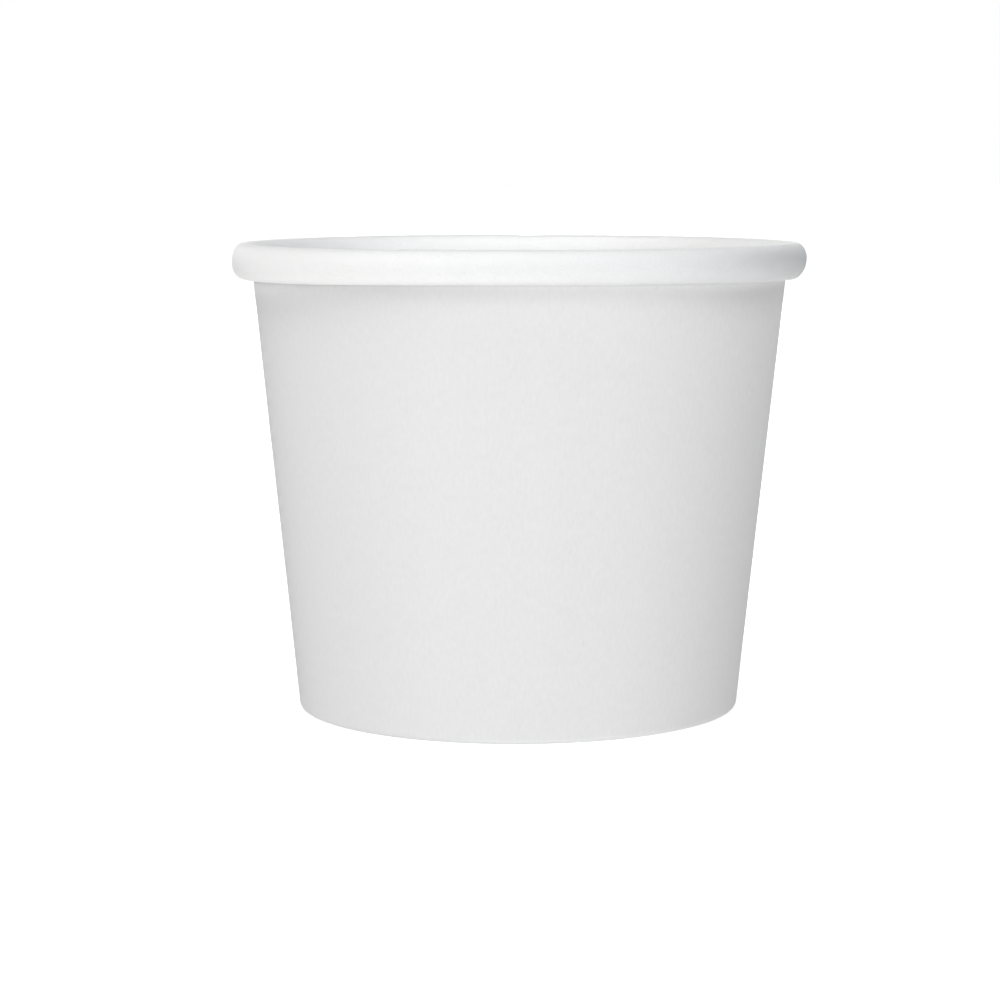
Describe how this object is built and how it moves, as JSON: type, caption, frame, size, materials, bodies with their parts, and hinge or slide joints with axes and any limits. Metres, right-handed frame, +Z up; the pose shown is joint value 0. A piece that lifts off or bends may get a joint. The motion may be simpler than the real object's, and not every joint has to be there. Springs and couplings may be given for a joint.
{
  "type": "paper ice cream cup",
  "caption": "Small empty paper ice cream cup: tapered side wall of light grey board, rolled white rim, flat base recessed above a folded foot, open top.",
  "frame": {"origin": "the middle of the underside of the foot, on the surface that the cup stands on", "axes": "+Z is up, out of the open top, and -Y is the front; the seam of the side wall is at the back, at +Y"},
  "size_m": [0.076, 0.076, 0.0619],
  "materials": {
    "printed_board": "matt light grey outside, with the fine fibrous mottle of uncoated board",
    "coated_board": "white coated inner face, softly satin"
  },
  "bodies": {
    "root": {"side_wall": "printed_board", "base_disc": "coated_board"}
  },
  "joints": []
}
